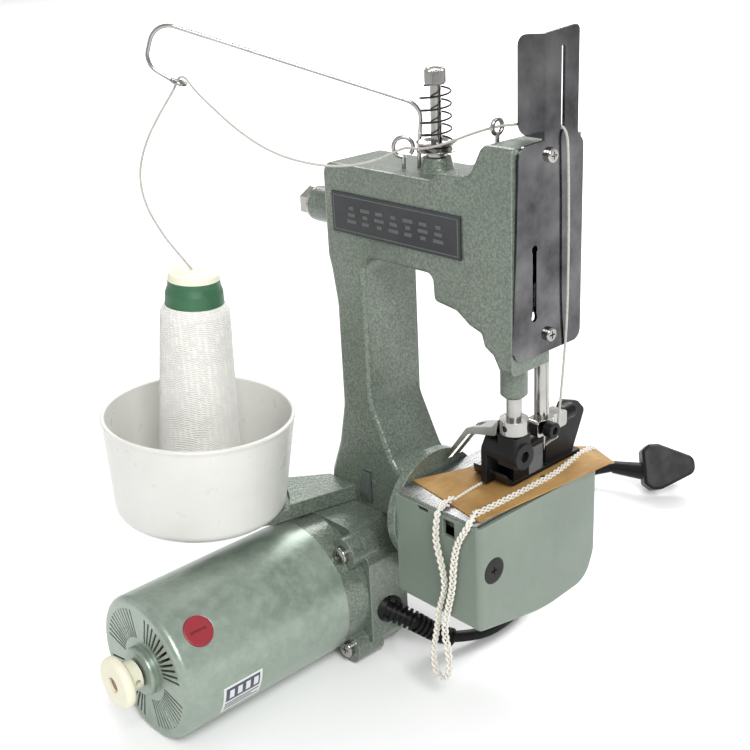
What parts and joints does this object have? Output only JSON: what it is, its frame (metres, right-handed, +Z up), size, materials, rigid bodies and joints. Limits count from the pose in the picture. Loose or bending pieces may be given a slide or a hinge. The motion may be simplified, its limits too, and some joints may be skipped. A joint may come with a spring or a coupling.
{
  "type": "bag closer sewing machine",
  "caption": "Portable chain-stitch bag closer: C-shaped cast frame, mains motor across its foot, thread cone in a bowl, needle and presser bars over a plated bed.",
  "frame": {"origin": "middle of the footprint of the machine without its lead, thread and plug, at bench level", "axes": "+Z up, +X along the arm towards the face plate, +Y the way the bag enters, away from the motor's free end"},
  "size_m": [0.2066, 0.4137, 0.3282],
  "materials": {
    "enamel": "hammered light green-grey stoving enamel",
    "motor_enamel": "satin metallic green-grey enamel",
    "cover_paint": "smooth satin green-grey enamel",
    "bright_chrome": "polished",
    "label": "dark grey printed plate",
    "steel": "ground steel",
    "nickel": "nickel plate",
    "pulley_plastic": "moulded",
    "belt_rubber": "toothed belt rubber",
    "black_steel": "black oxide",
    "bronze": "sintered bronze",
    "armature_steel": "steel laminations and copper windings",
    "cream_nylon": "cream nylon",
    "red_plastic": "red moulded",
    "white_plastic": "white moulded",
    "cream_plastic": "cream with a green band",
    "white_thread": "soft polyester sewing thread",
    "trigger_plastic": "dark grey moulded",
    "black_plastic": "black moulded",
    "kraft_paper": "brown kraft paper",
    "black_rubber": "black flexible PVC"
  },
  "bodies": {
    "machine": {"frame_casting": "enamel", "motor_bracket": "enamel", "motor_ring": "enamel", "thread_stand": "enamel", "motor_shell": "motor_enamel", "bed_cover": "cover_paint", "back_cover": "cover_paint", "face_plate": "bright_chrome", "name_plate": "label", "throat_plate": "steel", "cover_screws": "nickel", "motor_screws": "nickel", "rear_bolt": "nickel", "tension_post": "nickel", "tension_disc_lower": "nickel", "tension_spring": "nickel", "thread_arm": "nickel", "wire_eyelets": "nickel", "timing_belt": "belt_rubber", "presser_spring": "steel", "bed_cover_screw": "black_steel", "shaft_bearings": "bronze", "field_stator": "armature_steel", "brush_caps": "red_plastic", "spool_bowl": "white_plastic", "spool_pin": "nickel", "switch_block": "black_plastic", "test_strip": "kraft_paper", "strain_relief": "black_rubber", "mains_lead": "black_rubber", "lead_coil": "black_rubber", "lead_tail": "black_rubber", "plug": "black_plastic", "thread_slack": "white_thread", "thread_taut": "white_thread", "chain_tail": "white_thread"},
    "lower_shaft": {"lower_shaft": "steel", "lower_pulley": "pulley_plastic", "worm_wheel": "bronze"},
    "upper_shaft": {"upper_shaft": "steel", "upper_pulley": "pulley_plastic", "crank": "steel"},
    "armature": {"armature": "armature_steel", "hand_wheel": "cream_nylon"},
    "needle_bar": {"needle_bar": "nickel", "needle_clamp": "nickel", "needle_clamp_screws": "black_steel", "needle": "steel"},
    "connecting_rod": {"connecting_rod": "steel"},
    "presser_bar": {"presser_bar": "nickel", "presser_lifter": "nickel", "presser_foot": "black_steel"},
    "foot_sole": {"foot_sole": "black_steel"},
    "tension_nut": {"tension_nut": "nickel"},
    "tension_disc": {"tension_disc_upper": "nickel"},
    "thread_cone": {"cone_core": "cream_plastic", "thread_package": "white_thread"},
    "trigger": {"trigger": "trigger_plastic"},
    "looper": {"looper": "steel"},
    "feed_dog": {"feed_dog": "steel"}
  },
  "joints": [
    {"name": "lower_shaft_turn", "type": "hinge", "parent": "machine", "child": "lower_shaft", "pos_m": [0.03988, 0.05285, 0.0555], "axis": [1, 0, 0], "continuous": true},
    {"name": "upper_shaft_turn", "type": "hinge", "parent": "machine", "child": "upper_shaft", "pos_m": [0.03988, 0.05285, 0.23], "axis": [1, 0, 0], "continuous": true},
    {"name": "motor_turn", "type": "hinge", "parent": "machine", "child": "armature", "pos_m": [-0.01562, -0.04165, 0.037], "axis": [0, 1, 0], "continuous": true},
    {"name": "needle_bar_stroke", "type": "slide", "parent": "machine", "child": "needle_bar", "axis": [0, 0, 1], "range_m": [-0.024, 0]},
    {"name": "connecting_rod_swing", "type": "hinge", "parent": "needle_bar", "child": "connecting_rod", "pos_m": [0.08288, 0.06855, 0.21644], "axis": [1, 0, 0], "range_deg": [-10, 14]},
    {"name": "presser_lift", "type": "slide", "parent": "machine", "child": "presser_bar", "axis": [0, 0, 1], "range_m": [0, 0.008], "stiffness_N_per_m": 600, "springref_m": -0.01, "deforming": ["presser_spring"]},
    {"name": "sole_rock", "type": "hinge", "parent": "presser_bar", "child": "foot_sole", "pos_m": [0.07388, 0.04875, 0.1308], "axis": [1, 0, 0], "range_deg": [0, 6]},
    {"name": "tension_nut_turn", "type": "hinge", "parent": "machine", "child": "tension_nut", "pos_m": [0.03788, 0.05335, 0.3], "axis": [0, 0, 1], "range_deg": [-720, 720]},
    {"name": "tension_disc_lift", "type": "slide", "parent": "machine", "child": "tension_disc", "axis": [0, 0, 1], "range_m": [0, 0.001], "stiffness_N_per_m": 300, "springref_m": -0.004, "deforming": ["tension_spring"]},
    {"name": "cone_turn", "type": "hinge", "parent": "machine", "child": "thread_cone", "pos_m": [-0.05632, -0.03415, 0.0845], "axis": [0.0467, 0.0518, 0.9976], "continuous": true},
    {"name": "trigger_press", "type": "hinge", "parent": "machine", "child": "trigger", "pos_m": [-0.00262, 0.03675, 0.092], "axis": [1, 0, 0], "range_deg": [0, 7], "stiffness_Nm_per_rad": 0.08, "springref_deg": -5.73},
    {"name": "looper_rock", "type": "hinge", "parent": "machine", "child": "looper", "pos_m": [0.08788, 0.07835, 0.075], "axis": [0, 1, 0], "range_deg": [-12, 12]},
    {"name": "feed_travel", "type": "slide", "parent": "machine", "child": "feed_dog", "axis": [0, 1, 0], "range_m": [-0.0025, 0.0025]}
  ],
  "couplings": [
    {"joint": "upper_shaft_turn", "follows": "lower_shaft_turn", "ratio": 1},
    {"joint": "motor_turn", "follows": "lower_shaft_turn", "ratio": 8}
  ]
}
